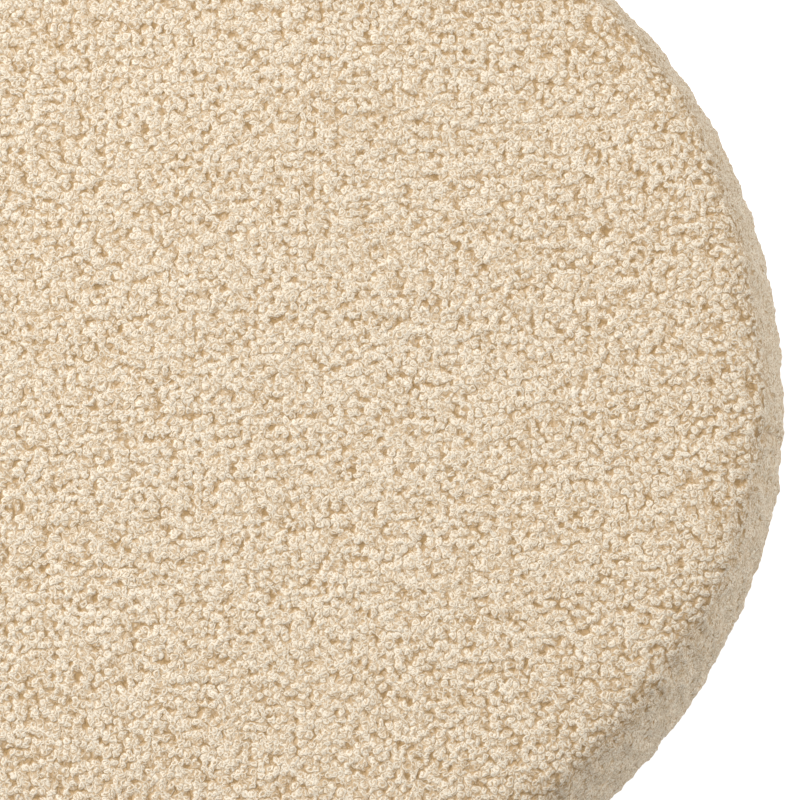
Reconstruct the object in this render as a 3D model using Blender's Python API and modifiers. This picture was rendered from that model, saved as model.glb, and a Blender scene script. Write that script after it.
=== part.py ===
"""A round filled pouf: a top panel, a side strip and a base panel, sewn together along their edges.

Units are metres and +Z is up. The origin is on the floor, under the middle of the pouf.
Azimuths are in degrees, turning from +X towards +Y.
"""

import math
from collections import namedtuple

import bpy

# Driving sizes
HEIGHT = 0.400
TOP_SEAM_HEIGHT = 0.377
BASE_SEAM_HEIGHT = 0.011
SEAM_GAP = 0.0003
TOP_SEAM_RADIUS = 0.2105
BASE_SEAM_RADIUS = 0.2045

# Top panel: a low crown that rolls over its rim and tucks in under itself to the seam
TOP_RIM_RADIUS = 0.2160
TOP_TUCK = 0.005
TOP_ROLL = 0.009
TOP_ROLL_TIGHTNESS = 24
TOP_CROWN = HEIGHT - TOP_SEAM_HEIGHT - TOP_TUCK - TOP_ROLL

# Side strip: the filling pushes it out between the seams, most of all a little below half height
SIDE_BULGE = 0.0345
SIDE_FULLNESS = 0.52
SIDE_SAG = 1.16

# Base panel: flat on the floor, with a small rounded rim
BASE_RIM_RADIUS = 0.2085
BASE_FLAT_RADIUS = 0.1985
BASE_RIM_HEIGHT = 0.006

# The strip's two ends meet in an upright closing seam
CLOSING_SEAM_AZIMUTH = -5.5
CLOSING_SEAM_DEPTH = 0.003
CLOSING_SEAM_WIDTH = 0.004

# How finely the round forms are divided
COLUMNS = 96
COLUMN_CROWDING = 1.35
CROWN_RINGS = 16
TUCK_RINGS = 3
SIDE_RINGS = 20
BASE_ROUND_RINGS = 3
MERGE_DISTANCE = 0.00001

# Radii of the rings on the flat faces inside the seams, as shares of the seam's radius
INNER_FACE_RINGS = (0.90, 0.70, 0.40)

# Slow waves of the filled form: how many go round, how far they push out, where the first
# crest lies at the top, and how far the crests have turned by the floor
Wave = namedtuple("Wave", "count push azimuth turn")
SLOW_WAVES = (
    Wave(count=2, push=0.0010, azimuth=92, turn=-25),
    Wave(count=3, push=0.0009, azimuth=0, turn=30),
    Wave(count=5, push=0.0006, azimuth=-20, turn=-20),
    Wave(count=8, push=0.0005, azimuth=-12, turn=12),
)

# Puckers that the stitches pull into the cloth beside both round seams
PUCKERS = (
    Wave(count=13, push=0.0005, azimuth=5, turn=0),
    Wave(count=21, push=0.0005, azimuth=12, turn=0),
)
PUCKER_REACH = 0.022

# Single dents and bumps in the rim
Dimple = namedtuple("Dimple", "azimuth push half_width")
RIM_DIMPLES = (
    Dimple(azimuth=8.0, push=-0.0018, half_width=5.0),
    Dimple(azimuth=-4.0, push=0.0010, half_width=3.0),
    Dimple(azimuth=-45.0, push=-0.0008, half_width=8.0),
    Dimple(azimuth=118.0, push=-0.0018, half_width=7.0),
    Dimple(azimuth=205.0, push=-0.0015, half_width=6.0),
)
RIM_DIMPLE_REACH = 0.120

# Soft hollows in the crown, from use
Hollow = namedtuple("Hollow", "x y depth radius")
CROWN_HOLLOWS = (
    Hollow(x=0.045, y=-0.030, depth=0.0016, radius=0.075),
    Hollow(x=-0.090, y=0.060, depth=0.0012, radius=0.060),
    Hollow(x=0.020, y=0.120, depth=-0.0010, radius=0.060),
)

# Surface colours and roughness
CREAM = (0.72, 0.60, 0.47, 1.0)
PLAIN_CLOTH = (0.62, 0.54, 0.44, 1.0)
CLOTH_ROUGHNESS = 0.95


def eased(share):
    """0 to 1 with a soft start and end, for a share of the way that may lie outside 0 to 1."""
    share = min(1.0, max(0.0, share))
    return share * share * (3.0 - 2.0 * share)


def turned_from(azimuth, other):
    """The angle in degrees from other to azimuth, between -180 and 180."""
    return (azimuth - other + 180.0) % 360.0 - 180.0


def hump(distance, width):
    """A smooth hump, 1 in its middle and near 0 beyond twice its width."""
    return math.exp(-((distance / width) ** 2))


def inner_face(seam_radius, height):
    """The flat face inside a seam, from the seam to the middle."""
    rings = [(share * seam_radius, height) for share in INNER_FACE_RINGS]
    return rings + [(0.0, height)]


def top_panel_profile():
    """Down from the middle of the crown, over the rim, to the seam and back inside it."""
    rim_height = TOP_SEAM_HEIGHT + TOP_TUCK
    profile = []
    for ring in range(CROWN_RINGS + 1):
        share = math.sin(0.5 * math.pi * ring / CROWN_RINGS)
        crown = TOP_CROWN * (1.0 - share**2)
        roll = TOP_ROLL * math.sqrt(max(0.0, 1.0 - share**TOP_ROLL_TIGHTNESS))
        profile.append((share * TOP_RIM_RADIUS, rim_height + crown + roll))
    lowest = TOP_SEAM_HEIGHT + SEAM_GAP / 2
    for ring in range(1, TUCK_RINGS + 1):
        turn = 0.5 * math.pi * ring / TUCK_RINGS
        radius = TOP_SEAM_RADIUS + (TOP_RIM_RADIUS - TOP_SEAM_RADIUS) * math.cos(turn)
        profile.append((radius, rim_height - (rim_height - lowest) * math.sin(turn)))
    return profile + inner_face(TOP_SEAM_RADIUS, lowest)


def side_band_profile():
    """Down the filled side from the top seam to the base seam, with the faces inside both."""
    top = TOP_SEAM_HEIGHT - SEAM_GAP / 2
    bottom = BASE_SEAM_HEIGHT + SEAM_GAP / 2
    profile = inner_face(TOP_SEAM_RADIUS, top)[::-1]
    for ring in range(SIDE_RINGS + 1):
        down = 0.5 - 0.5 * math.cos(math.pi * ring / SIDE_RINGS)
        seam_to_seam = TOP_SEAM_RADIUS + (BASE_SEAM_RADIUS - TOP_SEAM_RADIUS) * down
        bulge = SIDE_BULGE * max(0.0, math.sin(math.pi * down**SIDE_SAG)) ** SIDE_FULLNESS
        profile.append((seam_to_seam + bulge, top + (bottom - top) * down))
    return profile + inner_face(BASE_SEAM_RADIUS, bottom)


def base_panel_profile():
    """Inside the base seam, out to it, down the rounded rim and flat along the floor."""
    top = BASE_SEAM_HEIGHT - SEAM_GAP / 2
    profile = inner_face(BASE_SEAM_RADIUS, top)[::-1]
    profile.append((BASE_SEAM_RADIUS, top))
    for ring in range(BASE_ROUND_RINGS + 1):
        turn = 0.5 * math.pi * ring / BASE_ROUND_RINGS
        radius = BASE_FLAT_RADIUS + (BASE_RIM_RADIUS - BASE_FLAT_RADIUS) * math.cos(turn)
        profile.append((radius, BASE_RIM_HEIGHT * (1.0 - math.sin(turn))))
    return profile + inner_face(BASE_FLAT_RADIUS, 0.0)


def crowded_azimuth(azimuth):
    """An even column's azimuth moved so that the columns crowd together at the closing seam."""
    share = turned_from(azimuth, 0.0) / 180.0
    return CLOSING_SEAM_AZIMUTH + math.copysign(180.0 * abs(share) ** COLUMN_CROWDING, share)


def push_of_waves(waves, azimuth, height):
    """How far a set of waves pushes out at an azimuth and a height."""
    push = 0.0
    for wave in waves:
        crest = wave.azimuth + wave.turn * (1.0 - height / HEIGHT)
        push += wave.push * math.cos(math.radians(wave.count * (azimuth - crest)))
    return push


def settled(radius, azimuth, height):
    """A point of the true round form, as (x, y, z) where use and sewing have left it."""
    to_seam = min(abs(height - TOP_SEAM_HEIGHT), abs(height - BASE_SEAM_HEIGHT))
    out = push_of_waves(SLOW_WAVES, azimuth, height)
    out += push_of_waves(PUCKERS, azimuth, height) * hump(to_seam, PUCKER_REACH)
    for dimple in RIM_DIMPLES:
        across = hump(turned_from(azimuth, dimple.azimuth), dimple.half_width)
        out += dimple.push * across * hump(HEIGHT - height, RIM_DIMPLE_REACH)
    radius += out * eased(radius / TOP_SEAM_RADIUS)
    x = radius * math.cos(math.radians(azimuth))
    y = radius * math.sin(math.radians(azimuth))
    sink = 0.0
    for hollow in CROWN_HOLLOWS:
        sink += hollow.depth * hump(math.hypot(x - hollow.x, y - hollow.y), hollow.radius)
    return x, y, height - sink * eased(2.0 * height / HEIGHT - 1.0)


def closing_groove(radius, azimuth):
    """How deep the closing seam draws the strip in at this point of its outer face."""
    along = math.radians(turned_from(azimuth, CLOSING_SEAM_AZIMUTH)) * radius
    return CLOSING_SEAM_DEPTH * hump(along, CLOSING_SEAM_WIDTH / 2)


def cloth(name, colour):
    """A matt cloth material."""
    material = bpy.data.materials.new(name)
    material.use_nodes = True
    shader = material.node_tree.nodes["Principled BSDF"]
    shader.inputs["Base Color"].default_value = colour
    shader.inputs["Roughness"].default_value = CLOTH_ROUGHNESS
    shader.inputs["Metallic"].default_value = 0.0
    material.diffuse_color = colour
    return material


def turned_mesh(name, profile):
    """The closed mesh that a profile makes when it is turned once round the Z axis."""
    outline = bpy.data.meshes.new(name + "_profile")
    points = [(radius, 0.0, height) for radius, height in profile]
    edges = [(index, index + 1) for index in range(len(points) - 1)]
    outline.from_pydata(points, edges, [])
    turning = bpy.data.objects.new(name + "_turning", outline)
    bpy.context.scene.collection.objects.link(turning)
    screw = turning.modifiers.new("Turn", "SCREW")
    screw.axis = "Z"
    screw.angle = 2.0 * math.pi
    screw.steps = COLUMNS
    screw.render_steps = COLUMNS
    screw.use_merge_vertices = True
    screw.merge_threshold = MERGE_DISTANCE
    graph = bpy.context.evaluated_depsgraph_get()
    mesh = bpy.data.meshes.new_from_object(turning.evaluated_get(graph))
    bpy.data.objects.remove(turning)
    bpy.data.meshes.remove(outline)
    return mesh


def sewn_piece(name, profile, material, collection, has_closing_seam=False):
    """One piece of the pouf: its turned form, crowded at the closing seam, then settled."""
    mesh = turned_mesh(name, profile)
    for vertex in mesh.vertices:
        radius = math.hypot(vertex.co.x, vertex.co.y)
        azimuth = crowded_azimuth(math.degrees(math.atan2(vertex.co.y, vertex.co.x)))
        if has_closing_seam:
            radius -= closing_groove(radius, azimuth) * eased(radius / BASE_SEAM_RADIUS)
        vertex.co = settled(radius, azimuth, vertex.co.z)
    mesh.name = name
    mesh.materials.append(material)
    mesh.shade_smooth()
    mesh.set_sharp_from_angle(angle=math.radians(50.0))
    piece = bpy.data.objects.new(name, mesh)
    collection.objects.link(piece)
    return piece


def main():
    for old in list(bpy.data.objects):
        bpy.data.objects.remove(old, do_unlink=True)
    collection = bpy.data.collections.new("pouf")
    bpy.context.scene.collection.children.link(collection)
    looped = cloth("looped_wool_cloth", CREAM)
    looped_side = cloth("looped_wool_cloth_side", CREAM)
    plain = cloth("plain_base_cloth", PLAIN_CLOTH)
    sewn_piece("top_panel", top_panel_profile(), looped, collection)
    sewn_piece("side_band", side_band_profile(), looped_side, collection, has_closing_seam=True)
    sewn_piece("base_panel", base_panel_profile(), plain, collection)


main()
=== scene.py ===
"""The looks of a round filled pouf in cream looped cloth, dressed over its frame.

Units are metres and azimuths are in degrees from +X towards +Y, unless a name says otherwise.
"""

import math
from collections import namedtuple

import bpy
import numpy as np
from mathutils import Matrix, Vector


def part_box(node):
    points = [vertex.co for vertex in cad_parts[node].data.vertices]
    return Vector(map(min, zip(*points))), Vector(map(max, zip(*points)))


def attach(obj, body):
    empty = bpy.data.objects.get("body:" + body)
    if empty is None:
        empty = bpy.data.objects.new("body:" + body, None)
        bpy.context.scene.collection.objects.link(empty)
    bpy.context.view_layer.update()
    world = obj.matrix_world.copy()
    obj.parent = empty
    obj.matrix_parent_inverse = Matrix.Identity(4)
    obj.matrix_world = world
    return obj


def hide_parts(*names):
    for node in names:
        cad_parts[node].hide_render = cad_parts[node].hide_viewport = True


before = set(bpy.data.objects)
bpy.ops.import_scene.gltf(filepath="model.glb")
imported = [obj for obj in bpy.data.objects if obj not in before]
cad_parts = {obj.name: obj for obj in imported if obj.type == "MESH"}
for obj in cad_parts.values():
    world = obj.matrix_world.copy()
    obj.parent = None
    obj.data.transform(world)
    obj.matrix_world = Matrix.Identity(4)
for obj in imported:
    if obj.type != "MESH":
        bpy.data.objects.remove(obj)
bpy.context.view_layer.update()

BODY = "root"

# The form, from the frame's own boxes where they give a size
HEIGHT = 0.400
TOP_SEAM_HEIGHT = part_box("side_band")[1][2]
BASE_SEAM_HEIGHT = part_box("side_band")[0][2]
TOP_SEAM_RADIUS = 0.2105
BASE_SEAM_RADIUS = 0.2045
TOP_RIM_RADIUS = 0.2160
TOP_TUCK = 0.005
TOP_ROLL = 0.009
TOP_ROLL_TIGHTNESS = 24
TOP_CROWN = HEIGHT - TOP_SEAM_HEIGHT - TOP_TUCK - TOP_ROLL
SIDE_BULGE = 0.0345
SIDE_FULLNESS = 0.52
SIDE_SAG = 1.16
SIDE_MEAN_BULGE_SHARE = 0.8
BASE_RIM_RADIUS = 0.2085
BASE_FLAT_RADIUS = 0.1985
BASE_RIM_HEIGHT = 0.006
SEAM_ALLOWANCE = 0.012
CLOSING_SEAM_AZIMUTH = -5.5
CLOSING_SEAM_DEPTH = 0.003
CLOSING_SEAM_WIDTH = 0.004

# Slow waves of the filled form: how many go round, how far they push out, where the first
# crest lies at the top, and how far the crests have turned by the floor
Wave = namedtuple("Wave", "count push azimuth turn")
SLOW_WAVES = (
    Wave(count=2, push=0.0010, azimuth=92, turn=-25),
    Wave(count=3, push=0.0009, azimuth=0, turn=30),
    Wave(count=5, push=0.0006, azimuth=-20, turn=-20),
    Wave(count=8, push=0.0005, azimuth=-12, turn=12),
)
PUCKERS = (
    Wave(count=13, push=0.0005, azimuth=5, turn=0),
    Wave(count=21, push=0.0005, azimuth=12, turn=0),
)
PUCKER_REACH = 0.022

# The finest puckers, one for every few stitches, only here and not in the frame
STITCH_PUCKERS = (
    Wave(count=67, push=0.0004, azimuth=1, turn=0),
    Wave(count=94, push=0.0004, azimuth=2, turn=0),
)
STITCH_PUCKER_REACH = 0.014

Dimple = namedtuple("Dimple", "azimuth push half_width")
RIM_DIMPLES = (
    Dimple(azimuth=8.0, push=-0.0018, half_width=5.0),
    Dimple(azimuth=-4.0, push=0.0010, half_width=3.0),
    Dimple(azimuth=-45.0, push=-0.0008, half_width=8.0),
    Dimple(azimuth=118.0, push=-0.0018, half_width=7.0),
    Dimple(azimuth=205.0, push=-0.0015, half_width=6.0),
)
RIM_DIMPLE_REACH = 0.120

Hollow = namedtuple("Hollow", "x y depth radius")
CROWN_HOLLOWS = (
    Hollow(x=0.045, y=-0.030, depth=0.0016, radius=0.075),
    Hollow(x=-0.090, y=0.060, depth=0.0012, radius=0.060),
    Hollow(x=0.020, y=0.120, depth=-0.0010, radius=0.060),
)

# The pile: the woven ground lies this far under the frame's face, less so beside a seam
PILE_DEPTH = 0.0017
SEAM_PILE_SHARE = 0.35
SEAM_PILE_REACH = 0.006

# Within these reaches of a seam the strands drop by the number of millimetres below and so turn darker:
# the pile lies lower beside a seam, and the darker colour there is painted shade of the seam's groove; the
# last number is the closing seam's share of that painted shade
TOP_SEAM_SHADE_REACH = 0.013
SIDE_SEAM_SHADE_REACH = 0.020
SEAM_SHADE_DROP = 0.6
CLOSING_SEAM_SHADE = 0.8

# The meshes, and the free margin of their bake pictures
TOP_MESH_STEP = 0.00138
SIDE_MESH_STEP = 0.00130
SIDE_PARTS = 4
BASE_RINGS = 40
BAKE_MARGIN = 0.01

# The looped yarn: wound knots over a ground of smaller ones, and loose loops on top. Lengths and
# heights here are in millimetres. A knot's reach is a share of the knots' spacing, the span of its
# edge a share of that reach, and the span of its hole is counted in strands
KNOT_LAYERS = 2
KNOT_SPACING = 3.3
KNOT_REACH = 0.63
KNOT_REACH_MORE = 0.1
KNOT_RANDOMNESS = 0.9
KNOT_OVAL = 0.7
KNOT_EDGE_SPAN = (0.7, 1.0)
KNOT_DOME = 1.8
KNOT_ROUNDNESS = 0.6
KNOT_STAGGER = 0.8
KNOT_SINK = 0.12
KNOT_HOLE = 0.4
KNOT_HOLE_SPAN = (0.2, 0.8)
KNOT_HOLE_CHANCE = 0.5
KNOT_BLEND = 0.08
GROUND_HEIGHT = 0.9
GROUND_SHIFT = (3.1, 41.3, 0.0)
GROUND_SINK = -0.1
GROUND_SPACING = 2.1
GROUND_DOME = 0.6
STRAND = 1.4
STRAND_HEIGHT = 0.5
STRAND_OFF_CENTRE = 1.6
SWELL_SCALE = 0.13
SWELL_HEIGHT = 0.7
SWAY_SCALE = 0.33
SWAY = 1.5
RUFFLE_SCALE = 0.9
RUFFLE = 0.65
LOOP_SIZE = 6.0
LOOP_LEVELS = 7.0
LOOP_WIDTH = 0.12
LOOP_HEIGHT = 0.4
LUMP_SCALE = (0.11, 0.035, 0.0)
TOP_LUMP_HEIGHT = 0.0
SIDE_LUMP_HEIGHT = 4.0
RELIEF_SHARE = 0.0009
TOP_BUMP = 0.52
SIDE_BUMP = 0.5
MILLIMETRES = 1000.0
LAYER_SHIFT = (17.3, 9.1)
LOOP_SHIFT = (5.0, 0.0, 0.0)

# The middle of a noise's colours and of a knot's chance numbers
MIDDLE = (0.5, 0.5, 0.5)

# Heights in the pile, in millimetres, between which one colour turns into the next: the lower, the darker,
# which is painted shade in the valleys and gaps between knots.
# A groove's span lies between the bottom and the crest of a strand, 0 to 1, its darker end painted shade
# between strands, and the mottling's in a slow noise
GAP_SHADE_SPAN = (-0.2, 0.9)
VALLEY_SHADE_SPAN = (0.7, 2.15)
GROOVE_SHADE_SPAN = (0.05, 0.9)
TOP_GROOVE_SHADE_SHARE = 0.7
SIDE_GROOVE_SHADE_SHARE = 0.7
TINT_SHARE = 0.5
MOTTLE_SCALE = 0.07
MOTTLE_DETAIL = 1.0
MOTTLE_SPAN = (0.2, 0.8)
# Slow uneven mottling; on the side it is stronger, which is painted shade that makes the side darker than
# the top
TOP_MOTTLE = 0.05
SIDE_MOTTLE_AND_SHADE = 0.25

# Colours, scene linear. The groove's and valley's tans and the gap's brown are painted shade; the groove's
# tan is also the darker tone of the plain cloth's weave
CREAM = (1.0, 0.915, 0.77, 1.0)
WARM_CREAM = (0.98, 0.84, 0.65, 1.0)
GROOVE_SHADE_AND_WEAVE_TAN = (0.60, 0.405, 0.21, 1.0)
VALLEY_SHADE_TAN = (0.60, 0.41, 0.22, 1.0)
GAP_SHADE_BROWN = (0.45, 0.29, 0.13, 1.0)
# The mottling's tan: uneven tone, and on the side also painted shade
MOTTLE_AND_SHADE_TAN = (0.58, 0.43, 0.24, 1.0)
PLAIN_CREAM = (0.74, 0.66, 0.53, 1.0)
FLOOR_WHITE = (0.7, 0.7, 0.7, 1.0)
GLOW_WHITE = (1.0, 1.0, 1.0, 1.0)
CLOTH_ROUGHNESS = 0.85
PLAIN_ROUGHNESS = 0.9
FLOOR_ROUGHNESS = 0.9

# The plain cloth's weave: threads this far apart in millimetres, unevenly coloured
PLAIN_THREAD = 0.9
PLAIN_UNEVEN_SCALE = 0.4
PLAIN_UNEVEN_DETAIL = 3.0
PLAIN_WEAVE_SHARE = 0.2
PLAIN_TONE_SPAN = (0.2, 0.8)
PLAIN_BUMP = 0.4
PLAIN_BUMP_DEPTH = 0.0003

# The studio: a large soft lamp high on the left, a weak one low on the right, a pale sky that is
# brighter at the horizon than overhead, and a floor whose glow only the camera sees
LIGHT_WHITE = (1.0, 0.98, 0.955)
LIGHT_TARGET = (0.0, 0.0, 0.35)
KEY_PLACE = (-2.45, 1.25, 3.45)
KEY_POWER = 146.0
KEY_SIZE = 2.6
FILL_PLACE = (2.6, 0.9, 1.5)
FILL_POWER = 24.0
FILL_SIZE = 1.6
SKY_WHITE = (1.0, 0.985, 0.965, 1.0)
SKY_STRENGTH = 0.32
HORIZON_STRENGTH = 1.0
HORIZON_SPAN = (0.15, 0.5)
FLOOR_GLOW = 0.8
FLOOR_REACH = 60.0

# The camera, where the photograph's was: almost overhead, a little to the near side
CAMERA_PLACE = (0.0, -0.185, 2.400)
CAMERA_TARGET = (0.0649, -0.0130, 0.400)
FRAME_PIXELS = 800
FOCAL_PIXELS = 4890.0
SENSOR_WIDTH = 36.0
CLIP_END = 200.0


def eased(share):
    """0 to 1 with a soft start and end."""
    share = np.clip(share, 0.0, 1.0)
    return share * share * (3.0 - 2.0 * share)


def turned_from(azimuth, other):
    """The angle in degrees from other to azimuth, between -180 and 180."""
    return (azimuth - other + 180.0) % 360.0 - 180.0


def hump(distance, width):
    """A smooth hump, 1 in its middle and near 0 beyond twice its width."""
    return np.exp(-((distance / width) ** 2))


def push_of_waves(waves, azimuth, height):
    """How far a set of waves pushes out at an azimuth and a height."""
    push = 0.0
    for wave in waves:
        crest = wave.azimuth + wave.turn * (1.0 - height / HEIGHT)
        push = push + wave.push * np.cos(np.radians(wave.count * (azimuth - crest)))
    return push


def settled(radius, azimuth, height):
    """Points of the true round form, as rows of x, y, z where use and sewing have left them."""
    to_seam = np.minimum(abs(height - TOP_SEAM_HEIGHT), abs(height - BASE_SEAM_HEIGHT))
    out = push_of_waves(SLOW_WAVES, azimuth, height)
    out = out + push_of_waves(PUCKERS, azimuth, height) * hump(to_seam, PUCKER_REACH)
    out = out + push_of_waves(STITCH_PUCKERS, azimuth, height) * hump(to_seam, STITCH_PUCKER_REACH)
    for dimple in RIM_DIMPLES:
        across = hump(turned_from(azimuth, dimple.azimuth), dimple.half_width)
        out = out + dimple.push * across * hump(HEIGHT - height, RIM_DIMPLE_REACH)
    radius = radius + out * eased(radius / TOP_SEAM_RADIUS)
    x = radius * np.cos(np.radians(azimuth))
    y = radius * np.sin(np.radians(azimuth))
    sink = 0.0
    for hollow in CROWN_HOLLOWS:
        sink = sink + hollow.depth * hump(np.hypot(x - hollow.x, y - hollow.y), hollow.radius)
    return np.stack([x, y, height - sink * eased(2.0 * height / HEIGHT - 1.0)], axis=-1)


class Profile:
    """An outline of the form, radius and height, read by the length along it."""

    def __init__(self, radius, height):
        steps = np.hypot(np.diff(radius), np.diff(height))
        self.along = np.concatenate([[0.0], np.cumsum(steps)])
        self.radius = radius
        self.height = height
        self.length = self.along[-1]

    def at(self, along):
        return np.interp(along, self.along, self.radius), np.interp(along, self.along, self.height)

    def inset(self, along, depth):
        """The outline's points moved inwards, square to it, by depth."""
        near = 0.0004
        not_zero = 1e-12
        radius_before, height_before = self.at(along - near)
        radius_after, height_after = self.at(along + near)
        run, rise = radius_after - radius_before, height_after - height_before
        size = np.hypot(run, rise) + not_zero
        radius, height = self.at(along)
        return np.maximum(0.0, radius + depth * rise / size), height - depth * run / size


def top_outline(samples=600):
    """From the middle of the crown, over the rim, to the seam and a seam allowance inside it."""
    rim_height = TOP_SEAM_HEIGHT + TOP_TUCK
    share = np.sin(0.5 * np.pi * np.linspace(0.0, 1.0, samples))
    crown = TOP_CROWN * (1.0 - share**2)
    roll = TOP_ROLL * np.sqrt(np.maximum(0.0, 1.0 - share**TOP_ROLL_TIGHTNESS))
    turn = np.linspace(0.0, 0.5 * np.pi, samples // 6)[1:]
    tuck_radius = TOP_SEAM_RADIUS + (TOP_RIM_RADIUS - TOP_SEAM_RADIUS) * np.cos(turn)
    tuck_height = rim_height - TOP_TUCK * np.sin(turn)
    radius = np.concatenate([share * TOP_RIM_RADIUS, tuck_radius, [TOP_SEAM_RADIUS - SEAM_ALLOWANCE]])
    height = np.concatenate([rim_height + crown + roll, tuck_height, [TOP_SEAM_HEIGHT]])
    return Profile(radius, height)


def side_outline(samples=900):
    """From a seam allowance inside the top seam, down the filled side, to inside the base seam."""
    down = 0.5 - 0.5 * np.cos(np.pi * np.linspace(0.0, 1.0, samples))
    seam_to_seam = TOP_SEAM_RADIUS + (BASE_SEAM_RADIUS - TOP_SEAM_RADIUS) * down
    bulge = SIDE_BULGE * np.maximum(0.0, np.sin(np.pi * down**SIDE_SAG)) ** SIDE_FULLNESS
    radius = np.concatenate(
        [[TOP_SEAM_RADIUS - SEAM_ALLOWANCE], seam_to_seam + bulge, [BASE_SEAM_RADIUS - SEAM_ALLOWANCE]]
    )
    height = TOP_SEAM_HEIGHT + (BASE_SEAM_HEIGHT - TOP_SEAM_HEIGHT) * down
    return Profile(radius, np.concatenate([[TOP_SEAM_HEIGHT], height, [BASE_SEAM_HEIGHT]]))


def base_outline(samples=60):
    """From a seam allowance inside the base seam, over the small rim, to the middle of the floor."""
    turn = np.linspace(0.0, 0.5 * np.pi, samples)
    rim_radius = BASE_FLAT_RADIUS + (BASE_RIM_RADIUS - BASE_FLAT_RADIUS) * np.cos(turn)
    rim_height = BASE_RIM_HEIGHT * (1.0 - np.sin(turn))
    start = [BASE_SEAM_RADIUS - SEAM_ALLOWANCE, BASE_SEAM_RADIUS]
    radius = np.concatenate([start, rim_radius, [0.0]])
    height = np.concatenate([[BASE_SEAM_HEIGHT, BASE_SEAM_HEIGHT], rim_height, [0.0]])
    return Profile(radius, height)


def seam_nearness(height, reach):
    """1 at the height of a seam, falling to 0 away from it."""
    to_seam = np.minimum(abs(height - TOP_SEAM_HEIGHT), abs(height - BASE_SEAM_HEIGHT))
    return hump(to_seam, reach)


def ground_depth(height):
    """How far under the pile's face the woven ground lies at a height."""
    return PILE_DEPTH * (1.0 - (1.0 - SEAM_PILE_SHARE) * seam_nearness(height, SEAM_PILE_REACH))


def mesh_from(name, points, faces, flat, bake, seam_shade_mask):
    """A mesh object with its flat cloth places in two UV maps and how near it lies to a seam, 0 to 1, the
    mask of the painted seam shade.
    """
    mesh = bpy.data.meshes.new(name)
    corners = faces.shape[1]
    mesh.vertices.add(len(points))
    mesh.vertices.foreach_set("co", points.astype(np.float32).ravel())
    mesh.loops.add(faces.size)
    mesh.loops.foreach_set("vertex_index", faces.astype(np.int32).ravel())
    mesh.polygons.add(len(faces))
    mesh.polygons.foreach_set("loop_start", np.arange(0, faces.size, corners, dtype=np.int32))
    mesh.update(calc_edges=True)
    for layer_name, places in (("Cloth", flat), ("OFBake", bake)):
        layer = mesh.uv_layers.new(name=layer_name)
        layer.uv.foreach_set("vector", places[faces.ravel()].astype(np.float32).ravel())
    # How near the cloth lies to a seam: the mask of the painted seam shade
    seam = mesh.attributes.new("Seam", "FLOAT", "POINT")
    seam.data.foreach_set("value", seam_shade_mask.astype(np.float32))
    mesh.shade_smooth()
    piece = bpy.data.objects.new(name, mesh)
    bpy.context.scene.collection.objects.link(piece)
    return piece


def disc_lattice(rings):
    """Ring number and azimuth of each point of a disc whose ring k has 6 k points, and its faces."""
    ring = np.concatenate([[0], np.repeat(np.arange(1, rings + 1), 6 * np.arange(1, rings + 1))])
    first = 1 + 3 * np.arange(rings + 1) * (np.arange(rings + 1) - 1)
    first[0] = 0
    place = np.arange(len(ring)) - first[ring]
    azimuth = 360.0 * place / np.maximum(1, 6 * ring)
    faces = []
    for k in range(rings):
        inner_count, outer_count = max(1, 6 * k), 6 * (k + 1)
        step = np.arange(k + 1)
        for sector in range(6):
            outer = first[k + 1] + (sector * (k + 1) + step) % outer_count
            outer_next = first[k + 1] + (sector * (k + 1) + step + 1) % outer_count
            inner = first[k] + (sector * k + step) % inner_count
            faces.append(np.stack([inner, outer, outer_next], 1))
            if k:
                inner_next = first[k] + (sector * k + step[:-1] + 1) % inner_count
                faces.append(np.stack([inner[:-1], outer_next[:-1], inner_next], 1))
    return ring, azimuth, np.concatenate(faces)


def baked_round(flat, length):
    """The places of a round of cloth in its square bake picture, middle on middle."""
    return 0.5 + (0.5 - BAKE_MARGIN) * flat / length


def round_cloth(name, outline, step):
    """A round of cloth over an outline that starts at the middle."""
    rings = int(outline.length / step)
    ring, azimuth, faces = disc_lattice(rings)
    along = outline.length * ring / rings
    depth = ground_depth(outline.at(along)[1])
    radius, height = outline.inset(along, depth)
    points = settled(radius, azimuth, height)
    turn = np.radians(azimuth)
    flat = np.stack([along * np.cos(turn), along * np.sin(turn)], 1)
    # Nearness to the top and base seams, which masks their painted shade
    seam_shade_mask = seam_nearness(height, TOP_SEAM_SHADE_REACH)
    return mesh_from(name, points, faces, flat, baked_round(flat, outline.length), seam_shade_mask)


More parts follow.
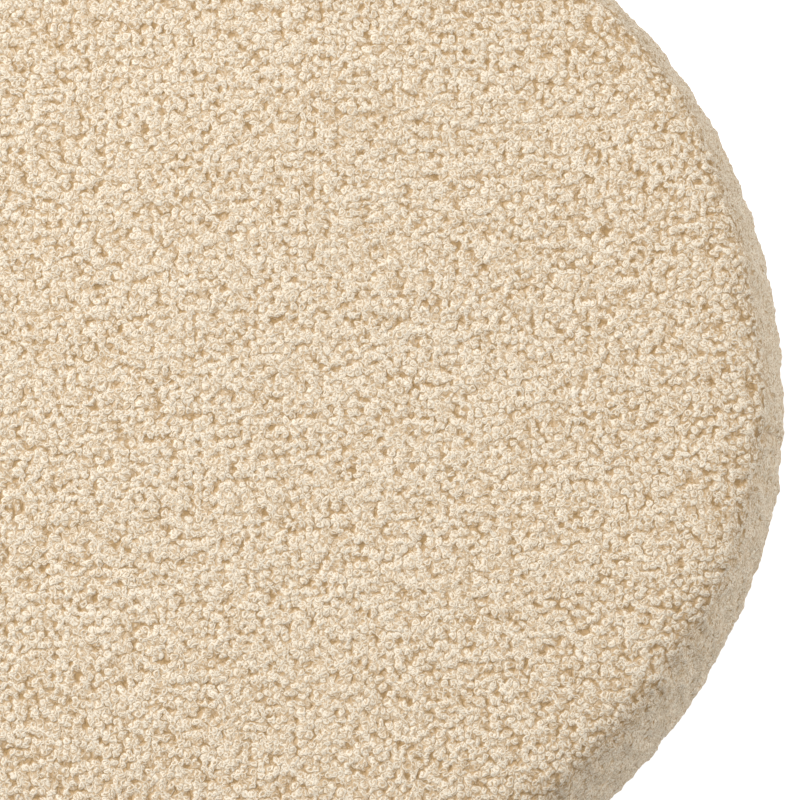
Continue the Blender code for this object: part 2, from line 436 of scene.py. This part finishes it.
def strip_cloth(name, outline, step, part, parts):
    """One of a strip's lengths, side by side round the pouf from the closing seam."""
    rows = int(outline.length / step)
    mean_radius = TOP_SEAM_RADIUS + SIDE_MEAN_BULGE_SHARE * SIDE_BULGE
    columns = int(2.0 * math.pi * mean_radius / parts / step)
    row, column = np.meshgrid(np.arange(rows + 1), np.arange(columns + 1), indexing="ij")
    row, column = row.ravel(), column.ravel()
    along = outline.length * row / rows
    turn = 360.0 * (part + column / columns) / parts
    azimuth = CLOSING_SEAM_AZIMUTH + turn
    depth = ground_depth(outline.at(along)[1])
    radius, height = outline.inset(along, depth)
    from_seam = np.radians(turned_from(azimuth, CLOSING_SEAM_AZIMUTH)) * radius
    radius = radius - CLOSING_SEAM_DEPTH * hump(from_seam, CLOSING_SEAM_WIDTH / 2)
    points = settled(radius, azimuth, height)
    corner = (row * (columns + 1) + column).reshape(rows + 1, columns + 1)
    faces = np.stack(
        [corner[:-1, :-1], corner[1:, :-1], corner[1:, 1:], corner[:-1, 1:]], axis=-1
    ).reshape(-1, 4)
    flat = np.stack([np.radians(turn) * mean_radius, outline.length - along], 1)
    across_and_up = np.stack([column / columns, 1.0 - row / rows], 1)
    bake = BAKE_MARGIN + (1.0 - 2.0 * BAKE_MARGIN) * across_and_up
    # The closing seam gets a share of the painted seam shade as well
    closing_seam_shade_mask = hump(from_seam, CLOSING_SEAM_WIDTH)
    seam_shade_mask = np.maximum(
        seam_nearness(height, SIDE_SEAM_SHADE_REACH), CLOSING_SEAM_SHADE * closing_seam_shade_mask
    )
    return mesh_from(name, points, faces, flat, bake, seam_shade_mask)


class NodeTree:
    """Adds nodes to a tree and joins them, so that a texture reads as a formula."""

    def __init__(self, tree):
        self.tree = tree

    def put(self, socket, value):
        if isinstance(value, bpy.types.NodeSocket):
            self.tree.links.new(value, socket)
        else:
            socket.default_value = value

    def node(self, kind, **settings):
        node = self.tree.nodes.new(kind)
        for name, value in settings.items():
            setattr(node, name, value)
        return node

    def maths(self, operation, *values, clamp=False):
        node = self.node("ShaderNodeMath", operation=operation, use_clamp=clamp)
        for socket, value in zip(node.inputs, values):
            self.put(socket, value)
        return node.outputs[0]

    def vector(self, operation, *values):
        node = self.node("ShaderNodeVectorMath", operation=operation)
        for socket, value in zip(node.inputs, values):
            self.put(socket, value)
        return node.outputs[0]

    def scaled(self, vector, factor):
        node = self.node("ShaderNodeVectorMath", operation="SCALE")
        self.put(node.inputs[0], vector)
        self.put(node.inputs["Scale"], factor)
        return node.outputs[0]

    def split(self, vector):
        node = self.node("ShaderNodeSeparateXYZ")
        self.put(node.inputs[0], vector)
        return node.outputs

    def length(self, x, y):
        return self.maths("SQRT", self.maths("MULTIPLY_ADD", x, x, self.maths("MULTIPLY", y, y)))

    def noise(self, vector, scale, detail=0.0):
        node = self.node("ShaderNodeTexNoise", noise_dimensions="2D")
        self.put(node.inputs["Vector"], vector)
        self.put(node.inputs["Scale"], scale)
        self.put(node.inputs["Detail"], detail)
        return node

    def ramp(self, value, low, high, to_low=0.0, to_high=1.0):
        node = self.node("ShaderNodeMapRange", interpolation_type="SMOOTHSTEP")
        for socket, given in zip(node.inputs[:5], (value, low, high, to_low, to_high)):
            self.put(socket, given)
        return node.outputs[0]

    def choose(self, share, first, second):
        node = self.node("ShaderNodeMix", data_type="FLOAT")
        for socket, given in zip((node.inputs[0], node.inputs[2], node.inputs[3]), (share, first, second)):
            self.put(socket, given)
        return node.outputs[0]

    def mix(self, share, first, second):
        node = self.node("ShaderNodeMix", data_type="RGBA")
        for socket, given in zip((node.inputs[0], node.inputs[6], node.inputs[7]), (share, first, second)):
            self.put(socket, given)
        return node.outputs[2]


def ruffled(t, place):
    """The place in the cloth, pushed about so that nothing on it stays a true circle."""
    slow = t.vector("SUBTRACT", t.noise(place, SWAY_SCALE).outputs["Color"], MIDDLE)
    quick = t.vector("SUBTRACT", t.noise(place, RUFFLE_SCALE).outputs["Color"], MIDDLE)
    return t.vector("ADD", t.vector("ADD", place, t.scaled(slow, SWAY)), t.scaled(quick, RUFFLE))


def knot_layer(t, place, shift, sink, spacing=KNOT_SPACING, dome_height=KNOT_DOME):
    """One layer of wound knots: body and full height in millimetres, a chance number, strands.

    Each knot has three chance numbers: they choose its turn and lift, how oval it is and which
    way it winds, and its reach and whether it is open in the middle.
    """
    moved = t.vector("ADD", place, shift)
    cells = t.node("ShaderNodeTexVoronoi", voronoi_dimensions="2D", feature="F1")
    t.put(cells.inputs["Vector"], moved)
    t.put(cells.inputs["Scale"], 1.0 / spacing)
    t.put(cells.inputs["Randomness"], KNOT_RANDOMNESS)
    luck = cells.outputs["Color"]
    one, two, three = t.split(luck)
    local = t.vector("SUBTRACT", moved, cells.outputs["Position"])
    spin = t.node("ShaderNodeVectorRotate", rotation_type="Z_AXIS")
    t.put(spin.inputs["Vector"], local)
    t.put(spin.inputs["Angle"], t.maths("MULTIPLY", one, 2.0 * math.pi))
    x, y, _ = t.split(spin.outputs[0])
    y = t.maths("MULTIPLY", y, t.maths("MULTIPLY_ADD", two, KNOT_OVAL, 1.0))
    far = t.length(x, y)
    reach = t.maths("MULTIPLY_ADD", three, KNOT_REACH_MORE * spacing, KNOT_REACH * spacing)
    share = t.maths("DIVIDE", far, reach)
    below = t.maths("SUBTRACT", 1.0, t.maths("MULTIPLY", share, share), clamp=True)
    dome = t.maths("POWER", below, KNOT_ROUNDNESS)
    off_centre = t.scaled(t.vector("SUBTRACT", luck, MIDDLE), STRAND_OFF_CENTRE)
    off_x, off_y, _ = t.split(t.vector("ADD", local, off_centre))
    hand = t.maths("SIGN", t.maths("SUBTRACT", two, 0.5))
    angle = t.maths("MULTIPLY", t.maths("ARCTAN2", off_y, off_x), hand)
    winding = t.maths("MULTIPLY_ADD", t.length(off_x, off_y), 2.0 * math.pi / STRAND, angle)
    strands = t.maths("MULTIPLY_ADD", t.maths("COSINE", winding), 0.5, 0.5)
    inside = t.ramp(share, *KNOT_EDGE_SPAN, 1.0, 0.0)
    hole_start, hole_end = KNOT_HOLE_SPAN
    hole = t.ramp(far, hole_start * STRAND, hole_end * STRAND, KNOT_HOLE, 1.0)
    hole = t.maths("MAXIMUM", hole, t.maths("LESS_THAN", three, KNOT_HOLE_CHANCE))
    lift = t.maths("MULTIPLY_ADD", t.maths("MULTIPLY", one, inside), KNOT_STAGGER, -sink)
    body = t.maths("MULTIPLY_ADD", dome, dome_height, lift)
    wound = t.maths("MULTIPLY", dome, t.maths("MULTIPLY_ADD", strands, STRAND_HEIGHT, dome_height))
    full = t.maths("MULTIPLY_ADD", wound, hole, lift)
    return body, full, three, strands


def knots(t, place):
    """All layers of knots over a ground of small loops, on slow swells: the highest one shows."""
    body, full, luck, strands = knot_layer(t, place, (0.0, 0.0, 0.0), 0.0)
    for layer in range(1, KNOT_LAYERS):
        shift = (LAYER_SHIFT[0] * layer, LAYER_SHIFT[1] * layer, 0.0)
        next_body, next_full, next_luck, next_strands = knot_layer(t, place, shift, KNOT_SINK * layer)
        above = t.maths("GREATER_THAN", next_full, full)
        body = t.maths("SMOOTH_MAX", next_body, body, KNOT_BLEND)
        full = t.maths("SMOOTH_MAX", next_full, full, KNOT_BLEND)
        luck = t.choose(above, luck, next_luck)
        strands = t.choose(above, strands, next_strands)
    body = t.maths("SMOOTH_MAX", body, GROUND_HEIGHT, KNOT_BLEND)
    low = knot_layer(t, place, GROUND_SHIFT, GROUND_SINK, GROUND_SPACING, GROUND_DOME)
    strands = t.choose(t.maths("GREATER_THAN", low[1], full), strands, low[3])
    full = t.maths("SMOOTH_MAX", full, low[1], KNOT_BLEND)
    swell = t.maths("SUBTRACT", t.noise(place, SWELL_SCALE).outputs["Fac"], 0.5)
    body = t.maths("MULTIPLY_ADD", swell, SWELL_HEIGHT, body)
    full = t.maths("MULTIPLY_ADD", swell, SWELL_HEIGHT, full)
    return body, full, luck, strands


def loose_loops(t, place):
    """0 to 1 along loose loops, which are level lines of a smooth noise."""
    level = t.noise(t.vector("ADD", place, LOOP_SHIFT), 1.0 / LOOP_SIZE).outputs["Fac"]
    off = t.maths("SUBTRACT", t.maths("FRACT", t.maths("MULTIPLY", level, LOOP_LEVELS)), 0.5)
    return t.ramp(t.maths("ABSOLUTE", off), 0.0, LOOP_WIDTH, 1.0, 0.0)


def looped_cloth(name, groove_shade_share, bump_strength, mottle_and_shade_share):
    """The looped cloth's material: knots, strands and loops in colour and bump, with painted shade in
    grooves, valleys and gaps and beside seams.
    """
    material = bpy.data.materials.new(name)
    material.use_nodes = True
    t = NodeTree(material.node_tree)
    shader = material.node_tree.nodes["Principled BSDF"]
    flat = t.node("ShaderNodeUVMap", uv_map="Cloth")
    place = ruffled(t, t.scaled(flat.outputs[0], MILLIMETRES))
    _, height, luck, strands = knots(t, place)
    # Near a seam the strands drop and so turn darker: the pile lies lower there, and the darkening is
    # painted shade of the seam's groove
    seam = t.node("ShaderNodeAttribute", attribute_name="Seam").outputs["Fac"]
    height = t.maths("MULTIPLY_ADD", seam, -SEAM_SHADE_DROP, height)
    loops = loose_loops(t, place)
    height = t.maths("MULTIPLY_ADD", loops, LOOP_HEIGHT, height)
    strands = t.maths("MAXIMUM", strands, loops)
    thread = t.mix(t.maths("MULTIPLY", luck, TINT_SHARE), CREAM, WARM_CREAM)
    # Painted shade between strands: the groove's tan where a strand is low
    thread = t.mix(t.ramp(strands, *GROOVE_SHADE_SPAN, groove_shade_share, 0.0), thread, GROOVE_SHADE_AND_WEAVE_TAN)
    # Painted shade low in the pile: brown in the gaps, tan in the valleys between knots
    valley_shade = t.mix(t.ramp(height, *GAP_SHADE_SPAN), GAP_SHADE_BROWN, VALLEY_SHADE_TAN)
    cloth = t.mix(t.ramp(height, *VALLEY_SHADE_SPAN), valley_shade, thread)
    # Slow mottling towards a tan; the side's stronger share of it is painted shade
    cloudy = t.noise(place, MOTTLE_SCALE, MOTTLE_DETAIL).outputs["Fac"]
    mottle_and_shade = t.ramp(cloudy, *MOTTLE_SPAN, 0.0, mottle_and_shade_share)
    t.put(shader.inputs["Base Color"], t.mix(mottle_and_shade, cloth, MOTTLE_AND_SHADE_TAN))
    shader.inputs["Roughness"].default_value = CLOTH_ROUGHNESS
    bump = t.node("ShaderNodeBump")
    bump.inputs["Strength"].default_value = bump_strength
    bump.inputs["Distance"].default_value = 1.0 / MILLIMETRES
    t.put(bump.inputs["Height"], height)
    t.put(shader.inputs["Normal"], bump.outputs[0])
    return material


def plain_cloth(name):
    """The plain woven cloth under the pouf."""
    material = bpy.data.materials.new(name)
    material.use_nodes = True
    t = NodeTree(material.node_tree)
    shader = material.node_tree.nodes["Principled BSDF"]
    flat = t.node("ShaderNodeUVMap", uv_map="Cloth")
    place = t.scaled(flat.outputs[0], MILLIMETRES)
    x, y, _ = t.split(place)
    thread = 2.0 * math.pi / PLAIN_THREAD
    weave = t.maths("MULTIPLY", t.maths("SINE", t.maths("MULTIPLY", x, thread)),
                    t.maths("SINE", t.maths("MULTIPLY", y, thread)))
    uneven = t.noise(place, PLAIN_UNEVEN_SCALE, PLAIN_UNEVEN_DETAIL).outputs["Fac"]
    tone = t.maths("MULTIPLY_ADD", weave, PLAIN_WEAVE_SHARE, uneven)
    # The weave and an uneven noise give the plain cloth its tone, from the tan to the plain cream
    t.put(shader.inputs["Base Color"], t.mix(t.ramp(tone, *PLAIN_TONE_SPAN), GROOVE_SHADE_AND_WEAVE_TAN, PLAIN_CREAM))
    shader.inputs["Roughness"].default_value = PLAIN_ROUGHNESS
    bump = t.node("ShaderNodeBump")
    bump.inputs["Strength"].default_value = PLAIN_BUMP
    bump.inputs["Distance"].default_value = PLAIN_BUMP_DEPTH
    t.put(bump.inputs["Height"], weave)
    t.put(shader.inputs["Normal"], bump.outputs[0])
    return material


def relief_nodes(lump_height):
    """Geometry nodes that raise the knots' bodies out of the woven ground, on upright lumps."""
    group = bpy.data.node_groups.new("pile_relief", "GeometryNodeTree")
    group.interface.new_socket("Geometry", in_out="INPUT", socket_type="NodeSocketGeometry")
    group.interface.new_socket("Geometry", in_out="OUTPUT", socket_type="NodeSocketGeometry")
    t = NodeTree(group)
    flat = t.node("GeometryNodeInputNamedAttribute", data_type="FLOAT_VECTOR")
    flat.inputs["Name"].default_value = "Cloth"
    place = ruffled(t, t.scaled(flat.outputs[0], MILLIMETRES))
    body = knots(t, place)[0]
    stretched = t.vector("MULTIPLY", t.scaled(flat.outputs[0], MILLIMETRES), LUMP_SCALE)
    lump = t.maths("SUBTRACT", t.noise(stretched, 1.0).outputs["Fac"], 0.5)
    body = t.maths("MULTIPLY_ADD", lump, lump_height, body)
    outwards = t.node("GeometryNodeInputNormal")
    offset = t.scaled(outwards.outputs[0], t.maths("MULTIPLY", body, RELIEF_SHARE))
    move = t.node("GeometryNodeSetPosition")
    t.put(move.inputs["Geometry"], t.node("NodeGroupInput").outputs[0])
    t.put(move.inputs["Offset"], offset)
    t.put(t.node("NodeGroupOutput").inputs[0], move.outputs[0])
    return group


def raise_pile(piece, group):
    """Applies the relief to a piece's mesh."""
    piece.modifiers.new("Pile", "NODES").node_group = group
    graph = bpy.context.evaluated_depsgraph_get()
    raised = bpy.data.meshes.new_from_object(piece.evaluated_get(graph))
    plain = piece.data
    piece.modifiers.clear()
    piece.data = raised
    bpy.data.meshes.remove(plain)
    raised.name = piece.name


def dress(piece, node, material):
    """Gives a piece its material, hangs it on the body and hides the frame's part that it dresses."""
    piece.data.materials.clear()
    piece.data.materials.append(material)
    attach(piece, BODY)
    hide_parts(node)


def make_cloth():
    """Makes and dresses the top, the four lengths of the side and the base."""
    top_cloth = looped_cloth("looped_cloth_top", TOP_GROOVE_SHADE_SHARE, TOP_BUMP, TOP_MOTTLE)
    # The side's cloth is the top's, with a stronger mottling that paints shade on the side
    side_cloth = looped_cloth("looped_cloth_side", SIDE_GROOVE_SHADE_SHARE, SIDE_BUMP, SIDE_MOTTLE_AND_SHADE)
    top_relief = relief_nodes(TOP_LUMP_HEIGHT)
    side_relief = relief_nodes(SIDE_LUMP_HEIGHT)
    top = round_cloth("top_cloth", top_outline(), TOP_MESH_STEP)
    raise_pile(top, top_relief)
    dress(top, "top_panel", top_cloth)
    side = side_outline()
    for part in range(SIDE_PARTS):
        length = strip_cloth(f"side_cloth_{part + 1}", side, SIDE_MESH_STEP, part, SIDE_PARTS)
        raise_pile(length, side_relief)
        dress(length, "side_band", side_cloth)
    base = round_base()
    dress(base, "base_panel", plain_cloth("plain_base_cloth"))


def round_base():
    """The plain round under the pouf, from the middle of the floor up to its seam."""
    floor_up = base_outline()
    flipped = Profile(floor_up.radius[::-1], floor_up.height[::-1])
    ring, azimuth, faces = disc_lattice(BASE_RINGS)
    along = flipped.length * ring / BASE_RINGS
    radius, height = flipped.at(along)
    turn = np.radians(azimuth)
    flat = np.stack([along * np.cos(turn), along * np.sin(turn)], 1)
    points = settled(radius, azimuth, height)
    bake = baked_round(flat, flipped.length)
    return mesh_from("base_cloth", points, faces[:, ::-1], flat, bake, np.zeros(len(points)))


def area_light(name, place, power, size):
    """A square lamp that points at the pouf."""
    data = bpy.data.lights.new(name, "AREA")
    data.energy = power
    data.size = size
    data.color = LIGHT_WHITE
    light = bpy.data.objects.new(name, data)
    light.location = place
    aim = Vector(LIGHT_TARGET) - Vector(place)
    light.rotation_euler = aim.to_track_quat("-Z", "Y").to_euler()
    bpy.context.scene.collection.objects.link(light)


def make_floor():
    """A plain pale floor under the pouf."""
    floor_mesh = bpy.data.meshes.new("floor")
    corners = [(x * FLOOR_REACH, y * FLOOR_REACH, 0.0) for x, y in ((-1, -1), (1, -1), (1, 1), (-1, 1))]
    floor_mesh.from_pydata(corners, [], [(0, 1, 2, 3)])
    floor = bpy.data.objects.new("floor", floor_mesh)
    bpy.context.scene.collection.objects.link(floor)
    white = bpy.data.materials.new("floor_white")
    white.use_nodes = True
    shader = white.node_tree.nodes["Principled BSDF"]
    shader.inputs["Base Color"].default_value = FLOOR_WHITE
    shader.inputs["Roughness"].default_value = FLOOR_ROUGHNESS
    shader.inputs["Emission Color"].default_value = GLOW_WHITE
    t = NodeTree(white.node_tree)
    seen = t.node("ShaderNodeLightPath").outputs["Is Camera Ray"]
    t.put(shader.inputs["Emission Strength"], t.maths("MULTIPLY", seen, FLOOR_GLOW))
    floor_mesh.materials.append(white)


def make_sky():
    """A pale sky, brighter at the horizon than overhead."""
    world = bpy.data.worlds.new("studio")
    world.use_nodes = True
    t = NodeTree(world.node_tree)
    sky = world.node_tree.nodes["Background"]
    sky.inputs["Color"].default_value = SKY_WHITE
    upwards = t.split(t.node("ShaderNodeTexCoord").outputs["Generated"])[2]
    t.put(sky.inputs["Strength"], t.ramp(upwards, *HORIZON_SPAN, HORIZON_STRENGTH, SKY_STRENGTH))
    bpy.context.scene.world = world


def make_camera():
    """The camera, its up side towards +Y."""
    place, target = Vector(CAMERA_PLACE), Vector(CAMERA_TARGET)
    view = (target - place).normalized()
    right = view.cross(Vector((0.0, 1.0, 0.0))).normalized()
    up = right.cross(view)
    data = bpy.data.cameras.new("camera")
    data.sensor_width = SENSOR_WIDTH
    data.lens = FOCAL_PIXELS * SENSOR_WIDTH / FRAME_PIXELS
    data.clip_end = CLIP_END
    camera = bpy.data.objects.new("camera", data)
    camera.matrix_world = Matrix.Translation(place) @ Matrix((right, up, -view)).transposed().to_4x4()
    bpy.context.scene.collection.objects.link(camera)
    bpy.context.scene.camera = camera


make_camera()
make_cloth()
make_floor()
area_light("key", KEY_PLACE, KEY_POWER, KEY_SIZE)
area_light("fill", FILL_PLACE, FILL_POWER, FILL_SIZE)
make_sky()
bpy.context.scene.view_settings.view_transform = "Standard"
